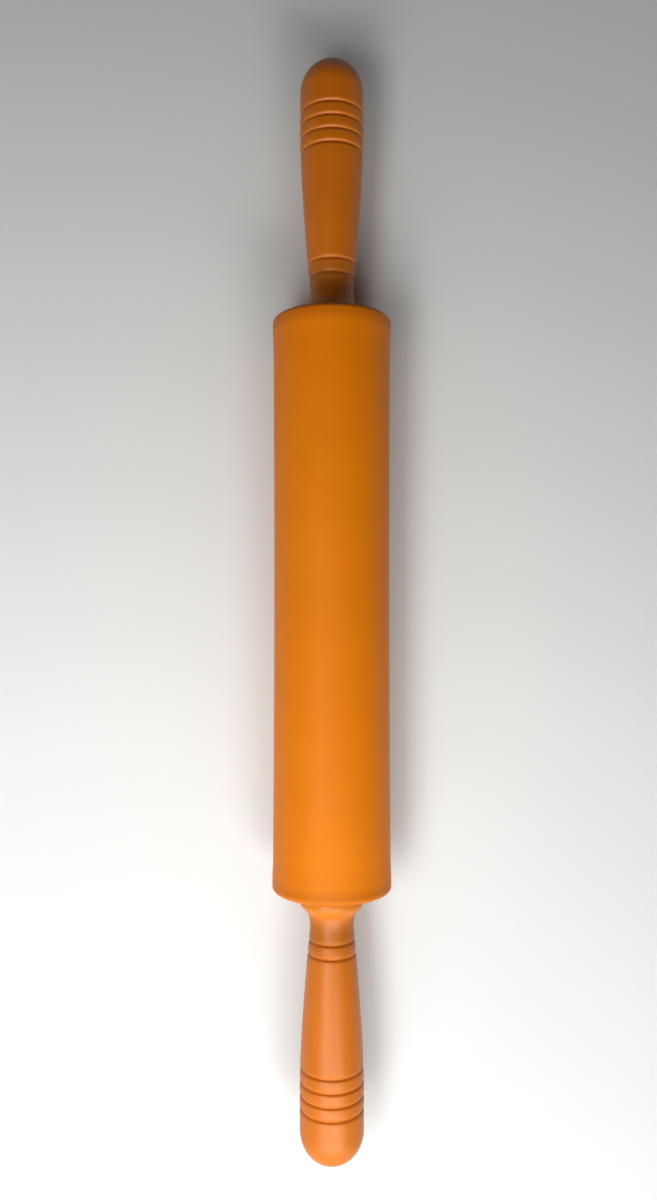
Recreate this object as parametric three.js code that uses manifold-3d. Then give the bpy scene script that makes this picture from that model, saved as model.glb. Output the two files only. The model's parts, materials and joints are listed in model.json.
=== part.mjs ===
// Rolling pin: a silicone-covered barrel that turns freely on a steel axle, between two plastic handles.
// Millimetres. +X runs along the pin and +Z is up. The origin is on the table, under the pin's middle.
// Both ends are alike. Each end piece is drawn for the +X end, and the -X end is the same turned round.

import * as THREE from 'three';
import { mergeVertices } from 'three/addons/utils/BufferGeometryUtils.js';
import Module from 'manifold-3d';

const wasm = await Module();
wasm.setup();

// Clearances
const seatGap = 0.3; // between pieces that touch, press or screw together
const runningGap = 0.3; // between the axle and a bush that turns on it
const endFloat = 2.5; // how far the barrel slides between the two thrust washers
const cutOverrun = 0.5; // how far a joined piece reaches into the one that it joins

// Barrel
const barrelLength = 238;
const barrelMiddleRadius = 23.8;
const barrelWaist = 0.4; // the body widens by this from its middle to its rims
const beadHeight = 0.3; // each rim swells by this again
const beadRiseLength = 8;
const beadCrestLength = 3;
const rimRoundLength = 3;
const rimRoundHeight = 6;

// Silicone sleeve
const sleeveWall = 2.5;
const lipWall = 2.4; // the sleeve turns in over the hub with this thickness
const lipOpeningRadius = 17;
const lipEdgeRound = 0.5;

// Core tube
const coreWall = 3;

// Hubs that close the core tube
const hubCollarLength = 0.6; // the hub's face stands this far out of its flange, inside the lip
const hubFlangeThickness = 2.4;
const hubSkirtLength = 20;
const hubSkirtWall = 2;
const hubBossLength = 15;
const hubBossWall = 3;
const hubRibCount = 6;
const hubRibThickness = 1.8;

// Bushes that the axle runs in
const bushWall = 2.2;
const bushLength = 18;
const bushFlangeRadius = 9;
const bushFlangeThickness = 1.5;

// Thrust washers between the barrel and the handles
const thrustWasherRadius = 9;
const thrustWasherThickness = 1;

// Axle with a threaded stud at each end
const axleRadius = 4;
const axleChamfer = 0.5;
const studRadius = 3;
const studLength = 16;
const shoulderDepth = 26.3; // how deep the axle's shoulder sits in the handle

// Nut and washer that hold the handle on the stud
const nutAcrossFlats = 10;
const nutThickness = 5;
const nutWasherRadius = 6.2;
const nutWasherThickness = 1.2;

// Handle: its flange and neck are placed from its flange face, and the rest back from its tip
const handleLength = 108.2;
const flangeRadius = 13.2;
const flangeEdgeLength = 2.7; // the flange keeps its full width this far from its face
const flangeEdgeRound = 0.5;
const bevelEndPlace = 5.9; // the bevel behind it ends here
const bevelEndRadius = 10.05;
const neckPlace = 11.8; // the handle is thinnest here
const neckRadius = 8.95;
const bellyToTip = 32.6; // and thickest this far from its tip
const bellyRadius = 13.2;
const swellPower = 1.45; // how the grip swells from the neck to the belly
const domeLength = 13.75;
const domeRadius = 13;

// Grooves round the handle
const grooveWidth = 2;
const grooveDepth = 0.65;
const groovePitch = 5.5;
const neckGroovePlace = 17.1;
const neckGrooveCount = 2;
const lastGrooveToTip = 22.8;
const gripGrooveCount = 4;
const grooveFloorShares = [0.4, 0.6]; // where the groove's floor starts and ends across its width

// Inside of the handle and its end cap
const webThickness = 6; // the wall that the nut clamps
const nutCavityRadius = 7.2;
const capSeatRadius = 9.9;
const capSeatLength = 17;
const spigotLength = 8;
const spigotWall = 1.6;
const domeWall = 3;

// Numbers of flat sides and steps
const roundSides = 32;
const smallSides = 24;
const nutSides = 6;
const bodySteps = 4;
const rimSteps = 5;
const coveSteps = 4;
const domeSteps = 7;
const gripSteps = 8;

// Places worked out from the sizes above: barrel places are measured from the barrel's middle
const barrelEnd = barrelLength / 2;
const rimRadius = barrelMiddleRadius + barrelWaist + beadHeight;
const crestEnd = barrelEnd - rimRoundLength;
const crestStart = crestEnd - beadCrestLength;
const bodyEnd = crestStart - beadRiseLength;
const sleeveBore = barrelMiddleRadius - sleeveWall;
const lipBack = barrelEnd - lipWall;
const coreRadius = sleeveBore - seatGap;
const coreBore = coreRadius - coreWall;
const hubFlangeFront = lipBack - seatGap;
const hubFace = hubFlangeFront + hubCollarLength;
const hubFlangeBack = hubFlangeFront - hubFlangeThickness;
const coreEnd = hubFlangeBack - seatGap;
const hubSkirtRadius = coreBore - seatGap;
const bushBore = axleRadius + runningGap;
const bushRadius = bushBore + bushWall;
const hubBore = bushRadius + seatGap;

// Places measured from the pin's middle
const barrelShift = -endFloat / 2; // the barrel stands against its -X washer
const thrustWasherInner = hubFace + endFloat / 2 + seatGap;
const flangeFace = thrustWasherInner + thrustWasherThickness + seatGap;
const axleShoulder = flangeFace + shoulderDepth - seatGap;
const axleHeight = rimRadius; // the rims stand on the table

// Places measured from the handle's flange face
const webOuter = shoulderDepth + webThickness;
const nutWasherInner = webOuter + seatGap;
const nutInner = nutWasherInner + nutWasherThickness + seatGap;
const bellyPlace = handleLength - bellyToTip;
const capJoint = handleLength - lastGrooveToTip; // half way across the last groove
const gripGroovePlace = capJoint - (gripGrooveCount - 1) * groovePitch;
const domeStart = handleLength - domeLength;
const capSeatStart = capJoint - capSeatLength;
const spigotRadius = capSeatRadius - seatGap;
const spigotBore = spigotRadius - spigotWall;

// Finishes
const siliconeOrange = new THREE.MeshStandardMaterial({ color: 0xee8420, roughness: 0.62, metalness: 0 });
const handleOrange = new THREE.MeshStandardMaterial({ color: 0xe87a2b, roughness: 0.42, metalness: 0 });
const coreWhite = new THREE.MeshStandardMaterial({ color: 0xe6e4de, roughness: 0.5, metalness: 0 });
const nylonWhite = new THREE.MeshStandardMaterial({ color: 0xf0ede4, roughness: 0.4, metalness: 0 });
const axleSteel = new THREE.MeshStandardMaterial({ color: 0xb8bcc0, roughness: 0.3, metalness: 1 });

const point = (radius, place) => new THREE.Vector2(radius, place);

// A turned solid about +X. The outline holds radius and place along the axis, with the solid on its left.
// Its flat sides touch the true circle from outside, and one of them faces straight down.
function turned(outline, sides) {
  const flatToCorner = 1 / Math.cos(Math.PI / sides);
  const corners = outline.map((p) => point(p.x * flatToCorner, p.y));
  const geometry = new THREE.LatheGeometry(corners, sides, Math.PI / sides);
  return geometry.rotateZ(-Math.PI / 2);
}

// A ring's outline closes on its first point
function turnedRing(outline, sides) {
  return turned([...outline, outline[0].clone()], sides);
}

function plainRing(bore, radius, start, end, sides) {
  return turnedRing([point(radius, start), point(radius, end), point(bore, end), point(bore, start)], sides);
}

// Places spread evenly from start to end, both of them included
function spread(start, end, steps) {
  return Array.from({ length: steps + 1 }, (_, i) => start + ((end - start) * i) / steps);
}

// The silicone sleeve
function bodyRadiusAt(place) {
  return barrelMiddleRadius + barrelWaist * (place / bodyEnd) ** 2;
}

// The +X rim, from the end of the body over the bead and the round to the back of the lip
function rimOutline() {
  const round = spread(0, Math.PI / 2, rimSteps).map((angle) =>
    point(rimRadius - rimRoundHeight * (1 - Math.cos(angle)), crestEnd + rimRoundLength * Math.sin(angle)),
  );
  return [
    point(rimRadius, crestStart),
    ...round,
    point(lipOpeningRadius + lipEdgeRound, barrelEnd),
    point(lipOpeningRadius, barrelEnd - lipEdgeRound),
    point(lipOpeningRadius, lipBack),
  ];
}

function makeSleeve() {
  const rightRim = rimOutline();
  const leftRim = rightRim.map((p) => point(p.x, -p.y)).reverse();
  const body = spread(-bodyEnd, bodyEnd, bodySteps).map((place) => point(bodyRadiusAt(place), place));
  const bore = [point(sleeveBore, lipBack), point(sleeveBore, -lipBack)];
  return turnedRing([...leftRim, ...body, ...rightRim, ...bore], roundSides);
}

function makeCoreTube() {
  return plainRing(coreBore, coreRadius, -coreEnd, coreEnd, roundSides);
}

// A closed geometry becomes a solid that can be joined and cut
function solidOf(geometry) {
  geometry.deleteAttribute('normal');
  geometry.deleteAttribute('uv');
  const merged = mergeVertices(geometry);
  return new wasm.Manifold(
    new wasm.Mesh({
      numProp: 3,
      vertProperties: new Float32Array(merged.attributes.position.array),
      triVerts: new Uint32Array(merged.index.array),
    }),
  );
}

function geometryOf(solid) {
  const mesh = solid.getMesh();
  const geometry = new THREE.BufferGeometry();
  geometry.setAttribute('position', new THREE.BufferAttribute(mesh.vertProperties, mesh.numProp));
  geometry.setIndex(new THREE.BufferAttribute(mesh.triVerts, 1));
  return geometry;
}

// A hub: a flange behind the sleeve's lip, a skirt in the core tube and a ribbed boss round the bush
function makeHub() {
  const bossRadius = hubBore + hubBossWall;
  const bossBack = hubFlangeBack - hubBossLength;
  const skirtBack = hubFlangeBack - hubSkirtLength;
  const skirtInside = hubSkirtRadius - hubSkirtWall;
  const faceRadius = lipOpeningRadius - seatGap;
  const counterbore = bushFlangeRadius + seatGap;
  const counterboreFloor = hubFace - bushFlangeThickness - seatGap;
  const shell = turnedRing(
    [
      point(hubSkirtRadius, skirtBack),
      point(hubSkirtRadius, hubFlangeBack),
      point(coreRadius, hubFlangeBack),
      point(coreRadius, hubFlangeFront),
      point(faceRadius, hubFlangeFront),
      point(faceRadius, hubFace),
      point(counterbore, hubFace),
      point(counterbore, counterboreFloor),
      point(hubBore, counterboreFloor),
      point(hubBore, bossBack),
      point(bossRadius, bossBack),
      point(bossRadius, hubFlangeBack),
      point(skirtInside, hubFlangeBack),
      point(skirtInside, skirtBack),
    ],
    smallSides,
  );
  let hub = solidOf(shell);
  const ribStart = bossRadius - cutOverrun;
  const ribReach = skirtInside + cutOverrun - ribStart;
  const ribLength = hubBossLength + cutOverrun;
  for (let i = 0; i < hubRibCount; i += 1) {
    const rib = new THREE.BoxGeometry(ribLength, hubRibThickness, ribReach);
    rib.translate(bossBack + ribLength / 2, 0, ribStart + ribReach / 2);
    rib.rotateX((2 * Math.PI * i) / hubRibCount);
    hub = hub.add(solidOf(rib));
  }
  return geometryOf(hub);
}

// A flanged bush, flush with the hub's face
function makeBush() {
  const flangeBack = hubFace - bushFlangeThickness;
  const back = hubFace - bushLength;
  return turnedRing(
    [
      point(bushRadius, back),
      point(bushRadius, flangeBack),
      point(bushFlangeRadius, flangeBack),
      point(bushFlangeRadius, hubFace),
      point(bushBore, hubFace),
      point(bushBore, back),
    ],
    smallSides,
  );
}

function makeThrustWasher() {
  return plainRing(bushBore, thrustWasherRadius, thrustWasherInner, flangeFace - seatGap, smallSides);
}

// The axle: a rod with a shoulder and a threaded stud at each end
function makeAxle() {
  const studEnd = flangeFace + shoulderDepth + studLength;
  const rightEnd = [
    point(axleRadius, axleShoulder - axleChamfer),
    point(axleRadius - axleChamfer, axleShoulder),
    point(studRadius, axleShoulder),
    point(studRadius, studEnd - axleChamfer),
    point(studRadius - axleChamfer, studEnd),
    point(0, studEnd),
  ];
  const leftEnd = rightEnd.map((p) => point(p.x, -p.y)).reverse();
  return turned([...leftEnd, ...rightEnd], smallSides);
}

// The handle's outer radius, before grooves, at a place measured from its flange face
function handleRadiusAt(place) {
  if (place < neckPlace) {
    const share = (neckPlace - place) / (neckPlace - bevelEndPlace);
    return neckRadius + (bevelEndRadius - neckRadius) * share ** 2;
  }
  if (place < bellyPlace) {
    const share = (bellyPlace - place) / (bellyPlace - neckPlace);
    return bellyRadius - (bellyRadius - neckRadius) * share ** swellPower;
  }
  if (place < domeStart) {
    const share = (place - bellyPlace) / (domeStart - bellyPlace);
    return bellyRadius - (bellyRadius - domeRadius) * share ** 2;
  }
  const share = Math.min(1, (place - domeStart) / domeLength);
  return domeRadius * Math.sqrt(1 - share ** 2);
}

const surfacePoint = (place) => point(handleRadiusAt(place), place);
const floorPoint = (place) => point(handleRadiusAt(place) - grooveDepth, place);

// One groove across the handle: its two edges, with its flat floor between them
function grooveOutline(centre) {
  const start = centre - grooveWidth / 2;
  const floor = grooveFloorShares.map((share) => start + grooveWidth * share);
  return [surfacePoint(start), ...floor.map(floorPoint), surfacePoint(start + grooveWidth)];
}

function groovePlaces(first, count) {
  return Array.from({ length: count }, (_, i) => first + i * groovePitch);
}

// The handle: flange, cove, neck and grip outside, with the axle's bore and an open hollow inside.
// It ends half way across its last groove, where the cap takes over.
function makeHandle() {
  const flange = [
    point(flangeRadius - flangeEdgeRound, 0),
    point(flangeRadius, flangeEdgeRound),
    point(flangeRadius, flangeEdgeLength),
  ];
  const cove = spread(bevelEndPlace, neckPlace, coveSteps).map(surfacePoint);
  const neckGrooves = groovePlaces(neckGroovePlace, neckGrooveCount).flatMap(grooveOutline);
  const gripStart = neckGrooves.at(-1).y;
  const gripEnd = gripGroovePlace - grooveWidth / 2;
  const grip = spread(gripStart, gripEnd, gripSteps).slice(1, -1).map(surfacePoint);
  const gripGrooves = groovePlaces(gripGroovePlace, gripGrooveCount).flatMap(grooveOutline).slice(0, -2);
  const joint = capJoint - seatGap / 2;
  const inside = [
    point(capSeatRadius, joint),
    point(capSeatRadius, capSeatStart),
    point(nutCavityRadius, webOuter),
    point(studRadius + seatGap, webOuter),
    point(studRadius + seatGap, shoulderDepth),
    point(bushBore, shoulderDepth),
    point(bushBore, 0),
  ];
  const outside = [...flange, ...cove, ...neckGrooves, ...grip, ...gripGrooves, floorPoint(joint)];
  return turnedRing([...outside, ...inside], roundSides).translate(flangeFace, 0, 0);
}

// The domed cap that closes the handle, hollow, with a spigot in the handle's open end
function makeEndCap() {
  const joint = capJoint + seatGap / 2;
  const spigotEnd = capJoint - spigotLength;
  const insideDomeLength = domeLength - domeWall;
  const inside = spread(0, Math.PI / 2, domeSteps).map((angle) =>
    point(spigotBore * Math.sin(angle), domeStart + insideDomeLength * Math.cos(angle)),
  );
  const outside = spread(0, Math.PI / 2, domeSteps).map((angle) =>
    point(domeRadius * Math.cos(angle), domeStart + domeLength * Math.sin(angle)),
  );
  const lastGroove = grooveOutline(capJoint).slice(-2);
  return turned(
    [
      point(0, inside[0].y),
      ...inside.slice(1),
      point(spigotBore, spigotEnd),
      point(spigotRadius, spigotEnd),
      point(spigotRadius, joint),
      floorPoint(joint),
      ...lastGroove,
      ...outside.slice(0, -1),
      point(0, handleLength),
    ],
    roundSides,
  ).translate(flangeFace, 0, 0);
}

function makeNutWasher() {
  const start = flangeFace + nutWasherInner;
  return plainRing(studRadius + seatGap, nutWasherRadius, start, start + nutWasherThickness, smallSides);
}

function makeNut() {
  const cornerRadius = nutAcrossFlats / 2 / Math.cos(Math.PI / nutSides);
  const hexagon = new THREE.Shape(
    spread(0, 2 * Math.PI, nutSides)
      .slice(0, -1)
      .map((angle) => point(cornerRadius * Math.cos(angle), cornerRadius * Math.sin(angle))),
  );
  const bore = new THREE.Path().absarc(0, 0, studRadius + seatGap, 0, 2 * Math.PI);
  hexagon.holes.push(bore);
  const geometry = new THREE.ExtrudeGeometry(hexagon, {
    depth: nutThickness,
    bevelEnabled: false,
    curveSegments: smallSides / 2,
  });
  return geometry.rotateY(Math.PI / 2).translate(flangeFace + nutInner, 0, 0);
}

function piece(name, geometry, material) {
  const mesh = new THREE.Mesh(geometry, material);
  mesh.name = name;
  return mesh;
}

// The left end is the right end turned half round the vertical axis
const ends = [
  { side: 'right', turn: 0 },
  { side: 'left', turn: Math.PI },
];

// The barrel and all that turns with it
const barrel = new THREE.Group();
barrel.add(piece('silicone_sleeve', makeSleeve(), siliconeOrange));
barrel.add(piece('core_tube', makeCoreTube(), coreWhite));
for (const { side, turn } of ends) {
  const end = new THREE.Group();
  end.add(piece(`${side}_hub`, makeHub(), handleOrange));
  end.add(piece(`${side}_bush`, makeBush(), nylonWhite));
  end.rotation.z = turn;
  barrel.add(end);
}
barrel.position.x = barrelShift;

// The axle, the handles and the hardware that holds them on
const axleAndHandles = new THREE.Group();
axleAndHandles.add(piece('axle_rod', makeAxle(), axleSteel));
for (const { side, turn } of ends) {
  const end = new THREE.Group();
  end.add(piece(`${side}_thrust_washer`, makeThrustWasher(), nylonWhite));
  end.add(piece(`${side}_handle`, makeHandle(), handleOrange));
  end.add(piece(`${side}_nut_washer`, makeNutWasher(), axleSteel));
  end.add(piece(`${side}_nut`, makeNut(), axleSteel));
  end.add(piece(`${side}_end_cap`, makeEndCap(), handleOrange));
  end.rotation.z = turn;
  axleAndHandles.add(end);
}

const rollingPin = new THREE.Group();
rollingPin.add(barrel, axleAndHandles);
rollingPin.position.z = axleHeight;

export default rollingPin;
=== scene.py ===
"""Rolling pin: fine turned meshes, finishes, floor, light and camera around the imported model.

Metres. +X runs along the pin, +Z is up and the table is at zero. Both ends of the pin are alike,
so each end piece is drawn for the +X end and turned half round the vertical axis for the -X end.
"""

import json
import math

import bmesh
import bpy
from mathutils import Matrix, Vector


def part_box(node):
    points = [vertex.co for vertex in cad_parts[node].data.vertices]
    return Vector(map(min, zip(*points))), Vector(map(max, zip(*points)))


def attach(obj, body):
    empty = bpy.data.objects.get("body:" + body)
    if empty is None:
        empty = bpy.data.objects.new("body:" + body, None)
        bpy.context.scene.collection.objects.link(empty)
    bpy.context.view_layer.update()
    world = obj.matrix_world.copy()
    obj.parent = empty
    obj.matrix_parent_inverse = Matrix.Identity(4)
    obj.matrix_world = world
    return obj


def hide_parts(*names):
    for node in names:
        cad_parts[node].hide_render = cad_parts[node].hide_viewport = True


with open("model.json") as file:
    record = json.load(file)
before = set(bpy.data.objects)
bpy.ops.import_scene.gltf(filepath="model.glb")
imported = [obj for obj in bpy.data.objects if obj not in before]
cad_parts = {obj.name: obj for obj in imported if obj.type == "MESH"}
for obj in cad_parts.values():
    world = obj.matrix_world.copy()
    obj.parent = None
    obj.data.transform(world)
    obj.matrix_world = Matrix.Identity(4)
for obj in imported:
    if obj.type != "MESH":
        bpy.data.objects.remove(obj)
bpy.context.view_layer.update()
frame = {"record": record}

MM = 0.001


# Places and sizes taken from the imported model

def span_of(node):
    """The start and end of a node along the pin, and its outer radius."""
    low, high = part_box(node)
    return low.x, high.x, (high.z - low.z) / 2


sleeve_start, sleeve_end, rim_radius = span_of("silicone_sleeve")
core_start, core_end, core_radius = span_of("core_tube")
hub_back, hub_face, _ = span_of("right_hub")
bush_back, _, bush_flange_radius = span_of("right_bush")
washer_inner, washer_outer, thrust_washer_radius = span_of("right_thrust_washer")
flange_face, _, flange_radius = span_of("right_handle")
spigot_end, handle_tip, dome_radius = span_of("right_end_cap")
nut_washer_start, nut_washer_end, nut_washer_radius = span_of("right_nut_washer")
nut_start, nut_end, _ = span_of("right_nut")
_, stud_end, axle_radius = span_of("axle_rod")

axle_height = rim_radius
barrel_middle = (sleeve_start + sleeve_end) / 2
barrel_end = (sleeve_end - sleeve_start) / 2
handle_length = handle_tip - flange_face

# Barrel
body_middle_radius = 23.8 * MM
bead_height = 0.3 * MM  # each rim swells by this from the body
bead_rise_length = 8 * MM
bead_crest_length = 3 * MM
rim_round_length = 3 * MM
rim_round_height = 6 * MM
rim_shade_length = 8.5 * MM  # painted shade: the skin is darkened this far from its ends
rim_shade_full = 4 * MM  # and fully so from here
sleeve_wall = 2.5 * MM
lip_wall = 2.4 * MM
lip_opening_radius = 17 * MM
core_wall = 3 * MM

# Hub, bush and axle
seat_gap = 0.3 * MM  # between pieces that touch
hub_flange_thickness = 2.4 * MM
hub_skirt_wall = 2 * MM
hub_boss_length = 15 * MM
hub_boss_wall = 3 * MM
hub_rib_count = 6
hub_rib_thickness = 1.8 * MM
bush_wall = 2.2 * MM
bush_flange_thickness = 1.5 * MM
axle_chamfer = 0.5 * MM
stud_radius = 3 * MM
shoulder_depth = 26.3 * MM  # how deep the axle's shoulder sits in the handle
thread_pitch = 1 * MM
thread_depth = 0.5 * MM
nut_across_flats = 10 * MM

# Handle: its flange and neck are placed from its flange face, and the rest back from its tip
flange_edge_length = 2.7 * MM
flange_edge_round = 1.2 * MM  # its rounding on the neck's side
bevel_end_place = 5.9 * MM
bevel_end_radius = 10.05 * MM
neck_place = 11.8 * MM
neck_radius = 8.95 * MM
neck_shade_start = 6.5 * MM  # painted shade: the plastic is darkened from here
neck_shade_full = 10.5 * MM
neck_shade_fade = 13 * MM
neck_shade_end = 26 * MM  # to here
flange_highlight_full = 4 * MM  # painted highlight: the plastic is fully paler from the flange face up to here
belly_to_tip = 32.6 * MM
swell_power = 1.45
dome_length = 13.75 * MM
groove_width = 2 * MM
groove_depth = 0.65 * MM
groove_floor_share = 0.1  # how much of a groove's width is its floor
lip_length = 0.45 * MM  # a groove's lips fall away gently over this
lip_drop = 0.06 * MM
groove_pitch = 5.5 * MM
neck_groove_place = 17.1 * MM
neck_groove_count = 2
last_groove_to_tip = 22.8 * MM
grip_groove_count = 4
web_thickness = 6 * MM
nut_cavity_radius = 7.2 * MM
cap_seat_radius = 9.9 * MM
cap_seat_length = 17 * MM
spigot_wall = 1.6 * MM
dome_wall = 3 * MM
joint_gap = 0.04 * MM  # the hairline between a handle and its cap

# Places worked out from the sizes above: barrel places are measured from the barrel's middle
crest_end = barrel_end - rim_round_length
crest_start = crest_end - bead_crest_length
body_end = crest_start - bead_rise_length
body_end_radius = rim_radius - bead_height
sleeve_bore = body_middle_radius - sleeve_wall
lip_back = barrel_end - lip_wall
belly_place = handle_length - belly_to_tip
cap_joint = handle_length - last_groove_to_tip
dome_start = handle_length - dome_length
grip_groove_place = cap_joint - (grip_groove_count - 1) * groove_pitch

# Hub: places along the pin, and radii
hub_flange_front = barrel_middle + lip_back - seat_gap
hub_flange_back = hub_flange_front - hub_flange_thickness
hub_skirt_radius = core_radius - core_wall - seat_gap
hub_skirt_bore = hub_skirt_radius - hub_skirt_wall
hub_bore = axle_radius + 2 * seat_gap + bush_wall
hub_boss_radius = hub_bore + hub_boss_wall

# Roundness of edges
soft_edge = 0.5 * MM
fine_edge = 0.25 * MM
edge_steps = 4

overrun = 0.5 * MM  # how far a joined piece reaches into the one that it joins
sharp_angle = math.radians(35)
pole_radius = 0.001 * MM  # a point this near the axle is on it

# Fineness of the meshes
skin_sides = 192
handle_sides = 144
hidden_sides = 96
body_step = 3 * MM
bead_step = body_step / 4
handle_step = 1 * MM
groove_step = 0.15 * MM
thread_step = thread_pitch / 8
rim_steps = 3 * edge_steps
dome_steps = 9 * edge_steps

# Colours, in linear light
silicone_deep = (0.715, 0.181, 0.0006)
silicone_light = (0.755, 0.194, 0.0008)
# Painted shade near the barrel's rims
painted_rim_shade = (0.58, 0.142, 0.0005)
plastic_deep = (0.545, 0.133, 0.0006)
plastic_light = (0.585, 0.144, 0.0008)
# Painted shade round the handles' necks
painted_neck_shade = (0.43, 0.114, 0.0005)
# Painted highlight on the handles' flanges
painted_flange_highlight = (0.60, 0.172, 0.002)
lint_colour = (0.75, 0.56, 0.38)
dust_colour = (0.20, 0.09, 0.03)
pipe_deep = (0.74, 0.72, 0.67)
pipe_light = (0.79, 0.77, 0.72)
nylon_deep = (0.82, 0.80, 0.73)
nylon_light = (0.87, 0.85, 0.79)
steel_deep = (0.56, 0.57, 0.58)
steel_light = (0.66, 0.67, 0.68)
floor_far_colour = (0.762, 0.774, 0.758)
# Painted shade: the tabletop under the brightest light
floor_painted_shade = (0.675, 0.685, 0.678)
# Painted shade: the backdrop towards -X, away from the lamps
background_painted_shade = (0.4, 0.4, 0.395)
background_near_colour = (0.82, 0.82, 0.81)
overhead_colour = (0.03, 0.03, 0.03)

# Shares of a noise's range, at which a finish reaches its deepest and lightest colour or roughness
cloud_low_share = 0.35
cloud_high_share = 0.65
noise_low_share = 0.3
noise_high_share = 0.7

# Surroundings: shares of the way from the horizon to straight up
horizon_share = 0.2
overhead_share = 0.5
ambient_strength = 0.08  # of the background, as light
floor_reach = 6
floor_fade_start = 0.29
floor_fade_end = 0.4
floor_shade_start = 0.02  # painted shade: the tabletop is darkened from here
floor_shade_full = 0.25  # to here, under the brightest light

# Lamps: place, what each faces, length along the pin, width across it and power
window_aim = Vector((0.1, 0, 0))
lamps = {
    "left_window": (Vector((0.8, -0.4, 0.53)), window_aim, 0.35, 0.4, 1.9),
    "middle_window": (Vector((0.85, 0, 0.53)), window_aim, 0.35, 0.4, 1.0),
    "right_window": (Vector((0.8, 0.4, 0.53)), window_aim, 0.35, 0.4, 1.55),
    "high_window": (Vector((0.7, 0, 0.68)), window_aim, 0.3, 0.8, 2.8),
    "left_box": (Vector((0.23, -0.2, 0.5)), Vector((0.23, -0.2, 0)), 0.4, 0.2, 1.85),
    "right_box": (Vector((0.4, 0.2, 0.5)), Vector((0.4, 0.2, 0)), 0.2, 0.2, 0.95),
    "end_box": (Vector((0.47, 0, 0.5)), Vector((0.47, 0, 0)), 0.1, 0.2, 0.5),
}

# Camera
sensor_width = 36
lens = 28.94
camera_height = 0.3998  # above the axle
camera_place = Vector((0.0051, -0.0008, axle_height + camera_height))
camera_aim = Vector((-0.0031, -0.0014, 0))
nearest_seen = 10 * MM


# Outlines: lists of (place along the pin, radius)

def spread(start, end, step):
    """Even places from start to end, both included, no further apart than step."""
    count = max(1, math.ceil(abs(end - start) / step))
    return [start + (end - start) * i / count for i in range(count + 1)]


def rounded(corners):
    """An outline through corners of (place, radius, edge), each rounded off over its edge to both sides."""
    outline = []
    for i, (place, radius, edge) in enumerate(corners):
        here = Vector((place, radius))
        if edge == 0:
            outline.append((place, radius))
            continue
        before = Vector(corners[i - 1][:2])
        after = Vector(corners[(i + 1) % len(corners)][:2])
        start = here + (before - here).normalized() * edge
        end = here + (after - here).normalized() * edge
        for step in range(edge_steps + 1):
            share = step / edge_steps
            point = start.lerp(here, share).lerp(here.lerp(end, share), share)
            outline.append((point.x, point.y))
    return outline


def between(corners):
    """The rounded outline between its first and last corner, which other outlines supply."""
    return rounded(corners)[1:-1]


def smooth_share(value):
    """Zero below 0, one above 1 and a smooth rise between them."""
    value = min(1, max(0, value))
    return value * value * (3 - 2 * value)


def body_radius(place):
    """The sleeve's outer radius at a place measured from the barrel's middle."""
    waist = (body_end_radius - body_middle_radius) * min(1, abs(place) / body_end) ** 2
    bead = bead_height * smooth_share((abs(place) - body_end) / bead_rise_length)
    return body_middle_radius + waist + bead


def sleeve_outline():
    """The skin from rim to rim, both turned-in lips and the bore."""
    half = []
    for place in spread(0, body_end, body_step)[1:]:
        half.append((place, body_radius(place)))
    for place in spread(body_end, crest_end, bead_step)[1:]:
        half.append((place, body_radius(place)))
    for i in range(1, rim_steps + 1):
        angle = math.pi / 2 * i / rim_steps
        place = crest_end + rim_round_length * math.sin(angle)
        half.append((place, rim_radius - rim_round_height * (1 - math.cos(angle))))
    half += between([
        (barrel_end, rim_radius - rim_round_height, 0),
        (barrel_end, lip_opening_radius, soft_edge),
        (lip_back, lip_opening_radius, fine_edge),
        (lip_back, sleeve_bore, 0),
        (0, sleeve_bore, 0),
    ])
    mirrored = [(-place, radius) for place, radius in reversed(half)]
    whole = mirrored + [(0, body_radius(0))] + half
    return [(barrel_middle + place, radius) for place, radius in whole]


def handle_radius(place):
    """The handle's outer radius before its grooves, at a place measured from its flange face."""
    if place < neck_place:
        share = (neck_place - place) / (neck_place - bevel_end_place)
        return neck_radius + (bevel_end_radius - neck_radius) * share ** 2
    if place < belly_place:
        share = (belly_place - place) / (belly_place - neck_place)
        return flange_radius - (flange_radius - neck_radius) * share ** swell_power
    if place < dome_start:
        share = (place - belly_place) / (dome_start - belly_place)
        return flange_radius - (flange_radius - dome_radius) * share ** 2
    share = min(1, (place - dome_start) / dome_length)
    return dome_radius * math.sqrt(1 - share ** 2)


def groove_places():
    neck = [neck_groove_place + i * groove_pitch for i in range(neck_groove_count)]
    return neck + [grip_groove_place + i * groove_pitch for i in range(grip_groove_count)]


def grooved_radius(place):
    """The handle's outer radius with its grooves, whose edges and floors run into each other softly."""
    distance = min(abs(place - groove) for groove in groove_places())
    slope_length = groove_width * (1 - groove_floor_share) / 2
    depth_share = smooth_share((groove_width / 2 - distance) / slope_length)
    lip_share = smooth_share((groove_width / 2 + lip_length - distance) / lip_length)
    depth = lip_drop * lip_share + (groove_depth - lip_drop) * depth_share
    return handle_radius(place) - depth


def grip_places(start, end):
    """Places from start to end, close together across the grooves and wider apart between them."""
    edges = [start]
    reach = groove_width / 2 + lip_length
    for groove in groove_places():
        for edge in (groove - reach, groove + reach):
            if start < edge < end:
                edges.append(edge)
    edges.append(end)
    places = []
    for first, last in zip(edges, edges[1:]):
        middle = (first + last) / 2
        in_groove = any(abs(middle - groove) < reach for groove in groove_places())
        places += spread(first, last, groove_step if in_groove else handle_step)[:-1]
    return places + [end]


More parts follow.
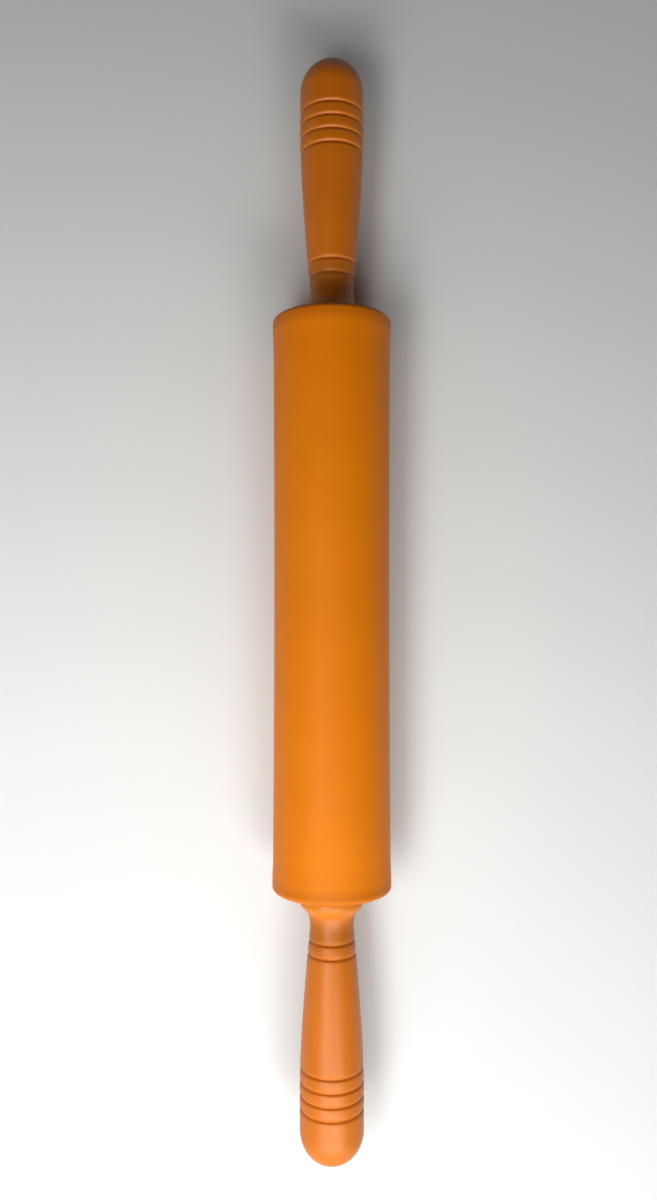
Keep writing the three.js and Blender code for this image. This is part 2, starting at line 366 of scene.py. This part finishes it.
def handle_outline():
    """The handle outside, from its flange to the joint with its cap, and its hollow inside."""
    bush_bore = axle_radius + seat_gap
    web_outer = shoulder_depth + web_thickness
    cap_seat_start = cap_joint - cap_seat_length
    flange = between([
        (0, bush_bore, 0),
        (0, flange_radius, fine_edge),
        (flange_edge_length, flange_radius, flange_edge_round),
        (bevel_end_place, bevel_end_radius, 0),
    ])
    joint = cap_joint - joint_gap / 2
    outside = [(place, grooved_radius(place)) for place in grip_places(bevel_end_place, joint)]
    inside = between([
        (joint, grooved_radius(joint), 0),
        (joint, cap_seat_radius, fine_edge),
        (cap_seat_start, cap_seat_radius, 0),
        (web_outer, nut_cavity_radius, fine_edge),
        (web_outer, stud_radius + seat_gap, fine_edge),
        (shoulder_depth, stud_radius + seat_gap, fine_edge),
        (shoulder_depth, bush_bore, fine_edge),
        (0, bush_bore, fine_edge),
        (0, flange_radius, 0),
    ])
    return [(flange_face + place, radius) for place, radius in flange + outside + inside]


def cap_outline():
    """The domed cap: half of the last groove, the dome, and the spigot and hollow inside."""
    joint = cap_joint + joint_gap / 2
    spigot_radius = cap_seat_radius - seat_gap
    spigot_bore = spigot_radius - spigot_wall
    inside_dome_length = dome_length - dome_wall
    outside = [(place, grooved_radius(place)) for place in grip_places(joint, dome_start)]
    angles = [math.pi / 2 * i / dome_steps for i in range(1, dome_steps + 1)]
    for angle in angles:
        outside.append((dome_start + dome_length * math.sin(angle), dome_radius * math.cos(angle)))
    inside = [(dome_start + inside_dome_length, 0)]
    for angle in angles:
        inside.append((dome_start + inside_dome_length * math.cos(angle), spigot_bore * math.sin(angle)))
    inside += between([
        (dome_start, spigot_bore, 0),
        (spigot_end - flange_face, spigot_bore, fine_edge),
        (spigot_end - flange_face, spigot_radius, fine_edge),
        (joint, spigot_radius, 0),
        (joint, grooved_radius(joint), 0),
    ])
    return [(flange_face + place, radius) for place, radius in inside + outside]


def ring_outline(start, end, bore, radius, edge):
    return rounded([
        (start, bore, edge),
        (start, radius, edge),
        (end, radius, edge),
        (end, bore, edge),
    ])


def hub_outline():
    """The hub's flange, skirt and boss, all in one section."""
    boss_back = hub_flange_back - hub_boss_length
    counterbore = bush_flange_radius + seat_gap
    counterbore_floor = hub_face - bush_flange_thickness - seat_gap
    return rounded([
        (hub_back, hub_skirt_radius, fine_edge),
        (hub_flange_back, hub_skirt_radius, 0),
        (hub_flange_back, core_radius, fine_edge),
        (hub_flange_front, core_radius, fine_edge),
        (hub_flange_front, lip_opening_radius - seat_gap, 0),
        (hub_face, lip_opening_radius - seat_gap, fine_edge),
        (hub_face, counterbore, fine_edge),
        (counterbore_floor, counterbore, 0),
        (counterbore_floor, hub_bore, fine_edge),
        (boss_back, hub_bore, fine_edge),
        (boss_back, hub_boss_radius, fine_edge),
        (hub_flange_back, hub_boss_radius, fine_edge),
        (hub_flange_back, hub_skirt_bore, fine_edge),
        (hub_back, hub_skirt_bore, fine_edge),
    ])


def nut_outline():
    """The nut's corners and bore. Its flats are cut from the corners as it is turned."""
    flat_radius = nut_across_flats / 2
    corner_radius = flat_radius / math.cos(math.pi / 6)
    chamfer_length = (corner_radius - flat_radius) * math.tan(math.pi / 6)
    bore = stud_radius + seat_gap
    return rounded([
        (nut_start, bore, fine_edge),
        (nut_start, flat_radius, 0),
        (nut_start + chamfer_length, corner_radius, 0),
        (nut_end - chamfer_length, corner_radius, 0),
        (nut_end, flat_radius, 0),
        (nut_end, bore, fine_edge),
    ])


def bush_outline():
    bore = axle_radius + seat_gap
    flange_back = hub_face - bush_flange_thickness
    return rounded([
        (bush_back, bore, fine_edge),
        (bush_back, bore + bush_wall, fine_edge),
        (flange_back, bore + bush_wall, 0),
        (flange_back, bush_flange_radius, fine_edge),
        (hub_face, bush_flange_radius, fine_edge),
        (hub_face, bore, fine_edge),
    ])


def axle_outline():
    """The rod with its shoulders, and the two studs' crests."""
    shoulder = flange_face + shoulder_depth - seat_gap
    half = [
        (shoulder - axle_chamfer, axle_radius),
        (shoulder, axle_radius - axle_chamfer),
        (shoulder, stud_radius),
    ]
    for place in spread(shoulder, stud_end - axle_chamfer, thread_step)[1:]:
        half.append((place, stud_radius))
    half += [(stud_end, stud_radius - axle_chamfer), (stud_end, 0)]
    return [(-place, radius) for place, radius in reversed(half)] + half


# Turned meshes

def turned(name, outline, sides, shape=None):
    """A closed piece turned about the axle. An outline that starts off the axle joins its own start.

    shape(place, radius, angle) gives a point's radius where the piece isn't round.
    """
    bm = bmesh.new()
    rings = []
    for place, radius in outline:
        if radius < pole_radius:
            rings.append([bm.verts.new((place, 0, axle_height))])
            continue
        ring = []
        for i in range(sides):
            angle = 2 * math.pi * i / sides
            reach = shape(place, radius, angle) if shape else radius
            point = (place, reach * math.sin(angle), axle_height + reach * math.cos(angle))
            ring.append(bm.verts.new(point))
        rings.append(ring)
    closes = len(rings[0]) > 1
    following = rings[1:] + rings[:1] if closes else rings[1:]
    for ring, after in zip(rings, following):
        for i in range(sides):
            corners = [ring[i % len(ring)], ring[(i + 1) % len(ring)]]
            corners += [after[(i + 1) % len(after)], after[i % len(after)]]
            bm.faces.new(list(dict.fromkeys(corners)))
    bmesh.ops.recalc_face_normals(bm, faces=bm.faces)
    mesh = bpy.data.meshes.new(name)
    bm.to_mesh(mesh)
    bm.free()
    return new_object(name, mesh)


def new_object(name, mesh):
    piece = bpy.data.objects.new(name, mesh)
    bpy.context.scene.collection.objects.link(piece)
    return piece


def threaded(place, radius, angle):
    """A stud's thread: its radius falls and rises once in each pitch, further along as it goes round."""
    shoulder = flange_face + shoulder_depth
    runs_in_share = (abs(place) - shoulder) / thread_pitch
    runs_out_share = (stud_end - axle_chamfer - abs(place)) / thread_pitch
    fade_share = min(1, max(0, runs_in_share)) * min(1, max(0, runs_out_share))
    turn_share = (place / thread_pitch - angle / (2 * math.pi)) % 1
    valley_share = 1 - abs(2 * turn_share - 1)
    return radius - thread_depth * valley_share * fade_share


def hexagonal(_, radius, angle):
    """A nut's flats, with a corner straight up."""
    sixth = math.pi / 3
    from_flat = angle % sixth - sixth / 2
    return min(radius, nut_across_flats / 2 / math.cos(from_flat))


def add_ribs(hub):
    """The ribs that run from the hub's boss to its skirt, joined to it."""
    start = hub_boss_radius - overrun
    reach = hub_skirt_bore + overrun - start
    length = hub_boss_length - fine_edge + overrun
    bm = bmesh.new()
    for i in range(hub_rib_count):
        size = Matrix.Diagonal((length, hub_rib_thickness, reach, 1))
        place = Matrix.Translation((hub_flange_back + overrun - length / 2, 0, start + reach / 2))
        turn = Matrix.Rotation(2 * math.pi * i / hub_rib_count, 4, "X")
        lift = Matrix.Translation((0, 0, axle_height))
        bmesh.ops.create_cube(bm, size=1, matrix=lift @ turn @ place @ size)
    mesh = bpy.data.meshes.new("ribs")
    bm.to_mesh(mesh)
    bm.free()
    ribs = new_object("ribs", mesh)
    joining = hub.modifiers.new("ribs", "BOOLEAN")
    joining.operation = "UNION"
    joining.object = ribs
    graph = bpy.context.evaluated_depsgraph_get()
    joined = bpy.data.meshes.new_from_object(hub.evaluated_get(graph))
    hub.modifiers.clear()
    hub.data = joined
    bpy.data.objects.remove(ribs)


# Finishes

class Nodes:
    """Short calls that add nodes to a material's or the world's node tree."""

    def __init__(self, tree):
        self.tree = tree

    def node(self, kind, inputs, **settings):
        """A node with its inputs set to values or linked to sockets."""
        node = self.tree.nodes.new(kind)
        for setting, value in settings.items():
            setattr(node, setting, value)
        for socket, value in inputs.items():
            self.put(value, node.inputs[socket])
        return node

    def put(self, value, socket):
        """Links the value to a socket, or sets it there."""
        if isinstance(value, bpy.types.NodeSocket):
            self.tree.links.new(value, socket)
        else:
            socket.default_value = value

    def along_pin(self, vector):
        return self.node("ShaderNodeSeparateXYZ", {"Vector": vector}).outputs["X"]

    def math(self, operation, first, second=0):
        return self.node("ShaderNodeMath", {0: first, 1: second}, operation=operation).outputs["Value"]

    def rise(self, value, start, end):
        """Zero at the start and before it, one at the end and beyond it, and a smooth rise between them."""
        values = {"Value": value, "From Min": start, "From Max": end}
        node = self.node("ShaderNodeMapRange", values, interpolation_type="SMOOTHSTEP")
        return node.outputs["Result"]

    def ramp(self, value, *stops):
        """Colours at shares of the value, blended between them."""
        node = self.node("ShaderNodeValToRGB", {"Fac": value})
        elements = node.color_ramp.elements
        while len(elements) < len(stops):
            elements.new(1)
        for element, (share, colour) in zip(elements, stops):
            element.position = share
            element.color = (*colour, 1)
        return node.outputs["Color"]

    def blend(self, share, under, colour):
        """A plain colour over what is under it, by this share."""
        values = {"Factor": share, "A": under, "B": (*colour, 1)}
        node = self.node("ShaderNodeMix", {}, data_type="RGBA")
        for socket in node.inputs:
            if socket.enabled and socket.name in values:
                self.put(values[socket.name], socket)
        return next(socket for socket in node.outputs if socket.enabled)

    def background(self, direction):
        """The plain background's colour in a direction, with painted shade: it deepens towards -X, away from
        the lamps.
        """
        return self.ramp(
            self.rise(self.along_pin(direction), -1, 1),
            (0, background_painted_shade),
            (1, background_near_colour),
        )

    def seen(self):
        """One for what the camera sees, directly or by reflection, and zero for light."""
        path = self.node("ShaderNodeLightPath", {}).outputs
        direct = self.math("MAXIMUM", path["Is Camera Ray"], path["Is Transmission Ray"])
        return self.math("MAXIMUM", direct, path["Is Glossy Ray"])


class Finish(Nodes):
    """A material with one main shader, and short calls for the textures that vary it."""

    def __init__(self, name, values):
        self.material = bpy.data.materials.new(name)
        self.material.use_nodes = True
        super().__init__(self.material.node_tree)
        self.shader = self.tree.nodes["Principled BSDF"]
        self.use(values)
        self.place = self.tree.nodes.new("ShaderNodeTexCoord").outputs["Object"]

    def noise(self, size, detail=2, stretch=(1, 1, 1)):
        """Soft noise whose features are about this size, drawn out along each axis by stretch."""
        scale = [1 / axis for axis in stretch]
        place = self.node("ShaderNodeMapping", {"Vector": self.place, "Scale": scale}).outputs["Vector"]
        values = {"Vector": place, "Scale": 1 / size, "Detail": detail}
        return self.node("ShaderNodeTexNoise", values).outputs["Fac"]

    def range(self, value, low, high):
        """The value, from its usual low and high ends to these numbers."""
        values = {"Value": value, "From Min": noise_low_share, "From Max": noise_high_share}
        values.update({"To Min": low, "To Max": high})
        return self.node("ShaderNodeMapRange", values).outputs["Result"]

    def specks(self, spacing, radius, share):
        """One where a speck lies and zero elsewhere: this share of the cells, a spacing apart, holds one."""
        cells = self.node("ShaderNodeTexVoronoi", {"Vector": self.place, "Scale": 1 / spacing})
        near = self.math("LESS_THAN", cells.outputs["Distance"], radius / spacing)
        chance = self.node("ShaderNodeSeparateColor", {"Color": cells.outputs["Color"]}).outputs["Red"]
        return self.math("MULTIPLY", near, self.math("LESS_THAN", chance, share))

    def bump(self, height, depth, under=None):
        """A surface raised by height times depth, on top of the surface under it."""
        values = {"Height": height, "Distance": depth, "Strength": 1}
        if under:
            values["Normal"] = under
        return self.node("ShaderNodeBump", values).outputs["Normal"]

    def use(self, sockets):
        """Sets the main shader's sockets to values, or links them to textures."""
        for socket, value in sockets.items():
            self.put(value, self.shader.inputs[socket])
        return self.material


def silicone():
    """Matte moulded silicone: faint clouding, a fine grain, and a little lint and dust that it holds."""
    finish = Finish("orange_silicone", {
        "IOR": 1.41,
        "Specular IOR Level": 0.42,
        "Specular Tint": (1, 0.85, 0.52, 1),
    })
    cloud = finish.noise(size=30 * MM, detail=3)
    colour = finish.ramp(cloud, (cloud_low_share, silicone_deep), (cloud_high_share, silicone_light))
    # Painted shade: the skin darkens towards its rims.
    from_middle = finish.math("SUBTRACT", finish.along_pin(finish.place), barrel_middle)
    from_middle = finish.math("ABSOLUTE", from_middle)
    in_rim_shade = finish.rise(from_middle, barrel_end - rim_shade_length, barrel_end - rim_shade_full)
    colour = finish.blend(in_rim_shade, colour, painted_rim_shade)
    lint = finish.specks(spacing=14 * MM, radius=0.25 * MM, share=0.05)
    dust = finish.specks(spacing=9 * MM, radius=0.18 * MM, share=0.04)
    colour = finish.blend(lint, colour, lint_colour)
    colour = finish.blend(dust, colour, dust_colour)
    waves = finish.bump(finish.noise(size=22 * MM), depth=0.12 * MM)
    grain = finish.bump(finish.noise(size=0.9 * MM, detail=3), depth=0.012 * MM, under=waves)
    roughness = finish.range(cloud, low=0.5, high=0.58)
    return finish.use({"Base Color": colour, "Roughness": roughness, "Normal": grain})


def orange_plastic():
    """Satin moulded plastic, with a finer and shinier skin than the silicone's."""
    finish = Finish("orange_plastic", {
        "IOR": 1.49,
        "Specular IOR Level": 0.5,
        "Specular Tint": (1, 0.93, 0.8, 1),
    })
    cloud = finish.noise(size=25 * MM, detail=3)
    colour = finish.ramp(cloud, (cloud_low_share, plastic_deep), (cloud_high_share, plastic_light))
    from_centre = finish.math("ABSOLUTE", finish.along_pin(finish.place))
    # Painted shade: the plastic darkens round the neck.
    past_flange = finish.rise(from_centre, flange_face + neck_shade_start, flange_face + neck_shade_full)
    before_grip = finish.rise(from_centre, flange_face + neck_shade_end, flange_face + neck_shade_fade)
    in_neck_shade = finish.math("MULTIPLY", past_flange, before_grip)
    colour = finish.blend(in_neck_shade, colour, painted_neck_shade)
    # Painted highlight: the plastic is paler on the flange.
    in_flange_highlight = finish.rise(from_centre, flange_face + neck_shade_start, flange_face + flange_highlight_full)
    colour = finish.blend(in_flange_highlight, colour, painted_flange_highlight)
    waves = finish.bump(finish.noise(size=16 * MM), depth=0.05 * MM)
    grain = finish.bump(finish.noise(size=0.5 * MM), depth=0.004 * MM, under=waves)
    scuffs = finish.noise(size=2.5 * MM, detail=4, stretch=(1, 3, 3))
    roughness = finish.range(scuffs, low=0.42, high=0.5)
    return finish.use({"Base Color": colour, "Roughness": roughness, "Normal": grain})


def core_plastic():
    """Off-white pipe, with the faint lines of its drawing along it."""
    finish = Finish("core_plastic", {})
    lines = finish.noise(size=0.8 * MM, stretch=(60, 1, 1))
    colour = finish.ramp(lines, (noise_low_share, pipe_deep), (noise_high_share, pipe_light))
    surface = finish.bump(lines, depth=0.01 * MM)
    roughness = finish.range(lines, low=0.42, high=0.5)
    return finish.use({"Base Color": colour, "Roughness": roughness, "Normal": surface})


def nylon():
    """Natural nylon, waxy and a little cloudy."""
    finish = Finish("white_nylon", {"Subsurface Weight": 0.15, "Subsurface Scale": 1 * MM})
    cloud = finish.noise(size=3 * MM)
    colour = finish.ramp(cloud, (noise_low_share, nylon_deep), (noise_high_share, nylon_light))
    surface = finish.bump(finish.noise(size=0.4 * MM), depth=0.005 * MM)
    roughness = finish.range(cloud, low=0.34, high=0.42)
    return finish.use({"Base Color": colour, "Roughness": roughness, "Normal": surface})


def steel():
    """Bright drawn steel, with turning marks round it."""
    finish = Finish("axle_steel", {"Metallic": 1})
    marks = finish.noise(size=0.15 * MM, stretch=(1, 80, 80))
    colour = finish.ramp(marks, (noise_low_share, steel_deep), (noise_high_share, steel_light))
    surface = finish.bump(marks, depth=0.004 * MM)
    roughness = finish.range(marks, low=0.24, high=0.36)
    return finish.use({"Base Color": colour, "Roughness": roughness, "Normal": surface})


# Pieces: each stands for the CAD node of the same name and rides on that node's body

finishes = {
    "orange_silicone": silicone(),
    "orange_plastic": orange_plastic(),
    "core_plastic": core_plastic(),
    "white_nylon": nylon(),
    "axle_steel": steel(),
}
body_of = {
    node: body
    for body, nodes in frame["record"]["behaviour"]["bodies"].items()
    for node in nodes
}


def dress(piece, node, slot):
    """Smooths a piece, finishes it and puts it in its node's place."""
    piece.data.shade_smooth()
    piece.data.set_sharp_from_angle(angle=sharp_angle)
    piece.data.materials.clear()
    piece.data.materials.append(finishes[slot])
    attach(piece, body_of[node])
    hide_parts(node)


def dress_both_ends(piece, part, slot, centre):
    """Dresses a +X end piece, and a copy of it turned half round the vertical axis through centre."""
    half_turn = Matrix.Translation((2 * centre, 0, 0)) @ Matrix.Rotation(math.pi, 4, "Z")
    left = new_object(f"left_{part}_surface", piece.data.copy())
    left.data.transform(half_turn)
    dress(piece, f"right_{part}", slot)
    dress(left, f"left_{part}", slot)


def name_of(part):
    return f"right_{part}_surface"


skin = turned("silicone_sleeve_surface", sleeve_outline(), skin_sides)
dress(skin, "silicone_sleeve", "orange_silicone")

tube = turned(
    "core_tube_surface",
    ring_outline(core_start, core_end, core_radius - core_wall, core_radius, fine_edge),
    hidden_sides,
)
dress(tube, "core_tube", "core_plastic")

hub = turned(name_of("hub"), hub_outline(), hidden_sides)
add_ribs(hub)
dress_both_ends(hub, "hub", "orange_plastic", barrel_middle)

bush = turned(name_of("bush"), bush_outline(), hidden_sides)
dress_both_ends(bush, "bush", "white_nylon", barrel_middle)

washer = turned(
    name_of("thrust_washer"),
    ring_outline(washer_inner, washer_outer, axle_radius + seat_gap, thrust_washer_radius, fine_edge),
    hidden_sides,
)
dress_both_ends(washer, "thrust_washer", "white_nylon", 0)

axle = turned("axle_rod_surface", axle_outline(), hidden_sides, threaded)
dress(axle, "axle_rod", "axle_steel")

handle = turned(name_of("handle"), handle_outline(), handle_sides)
dress_both_ends(handle, "handle", "orange_plastic", 0)

cap = turned(name_of("end_cap"), cap_outline(), handle_sides)
dress_both_ends(cap, "end_cap", "orange_plastic", 0)

nut_washer = turned(
    name_of("nut_washer"),
    ring_outline(nut_washer_start, nut_washer_end, stud_radius + seat_gap, nut_washer_radius, fine_edge),
    hidden_sides,
)
dress_both_ends(nut_washer, "nut_washer", "axle_steel", 0)

nut = turned(name_of("nut"), nut_outline(), hidden_sides, hexagonal)
dress_both_ends(nut, "nut", "axle_steel", 0)


# Floor and surroundings

def pale_floor():
    """A pale tabletop, with painted shade towards +X under the brightest light. Far from the pin it turns
    into the plain background.
    """
    finish = Finish("pale_floor", {"Roughness": 0.5, "Specular IOR Level": 0.2})
    # Painted shade: the tabletop is darker towards +X, under the brightest light.
    near = finish.rise(finish.along_pin(finish.place), floor_shade_start, floor_shade_full)
    finish.use({"Base Color": finish.ramp(near, (0, floor_far_colour), (1, floor_painted_shade))})
    distance = finish.node("ShaderNodeVectorMath", {0: finish.place}, operation="LENGTH").outputs["Value"]
    fade = finish.rise(distance, floor_fade_start, floor_fade_end)
    direction = finish.node("ShaderNodeVectorMath", {0: finish.place}, operation="NORMALIZE")
    glow = finish.node("ShaderNodeEmission", {
        "Color": finish.background(direction.outputs["Vector"]),
        "Strength": 1,
    })
    mixed = finish.node("ShaderNodeMixShader", {
        "Fac": finish.math("MULTIPLY", fade, finish.seen()),
        1: finish.shader.outputs["BSDF"],
        2: glow.outputs["Emission"],
    })
    output = finish.tree.nodes["Material Output"]
    finish.tree.links.new(mixed.outputs["Shader"], output.inputs["Surface"])
    return finish.material


def make_floor():
    bm = bmesh.new()
    bmesh.ops.create_grid(bm, x_segments=1, y_segments=1, size=floor_reach)
    mesh = bpy.data.meshes.new("floor")
    bm.to_mesh(mesh)
    bm.free()
    floor = new_object("floor", mesh)
    floor.data.materials.append(pale_floor())


def make_world():
    """A pale background that dims overhead, of which little falls on the pin as light."""
    world = bpy.data.worlds.new("surroundings")
    world.use_nodes = True
    nodes = Nodes(world.node_tree)
    direction = nodes.node("ShaderNodeTexCoord", {}).outputs["Generated"]
    height = nodes.node("ShaderNodeSeparateXYZ", {"Vector": direction}).outputs["Z"]
    overhead = nodes.rise(height, horizon_share, overhead_share)
    colour = nodes.blend(overhead, nodes.background(direction), overhead_colour)
    strength = nodes.node("ShaderNodeMapRange", {"Value": nodes.seen(), "To Min": ambient_strength})
    background = nodes.tree.nodes["Background"]
    nodes.tree.links.new(colour, background.inputs["Color"])
    nodes.tree.links.new(strength.outputs["Result"], background.inputs["Strength"])
    bpy.context.scene.world = world


# Lamps and camera

def facing(place, aim, right_of):
    """A place turned so that its -Z looks at the aim, with its +X square to right_of."""
    back = (place - aim).normalized()
    right = right_of.cross(back).normalized()
    turn = Matrix((right, back.cross(right), back)).transposed().to_4x4()
    return Matrix.Translation(place) @ turn


def make_lamp(name, place, aim, length, width, power):
    """A soft rectangular lamp, its width across the pin. It lights the pin but isn't seen itself."""
    lamp = bpy.data.lights.new(name, "AREA")
    lamp.shape = "RECTANGLE"
    lamp.size = length
    lamp.size_y = width
    lamp.energy = power
    holder = bpy.data.objects.new(name, lamp)
    holder.matrix_world = facing(place, aim, Vector((0, 1, 0)))
    holder.visible_camera = False
    bpy.context.scene.collection.objects.link(holder)


def make_camera():
    """The camera hangs over the pin, with the -X end at the top of its picture."""
    camera = bpy.data.cameras.new("camera")
    camera.sensor_width = sensor_width
    camera.lens = lens
    camera.clip_start = nearest_seen
    holder = bpy.data.objects.new("camera", camera)
    holder.matrix_world = facing(camera_place, camera_aim, Vector((-1, 0, 0)))
    bpy.context.scene.collection.objects.link(holder)
    bpy.context.scene.camera = holder


make_floor()
make_world()
for name, values in lamps.items():
    make_lamp(name, *values)
make_camera()
bpy.context.scene.view_settings.view_transform = "Standard"
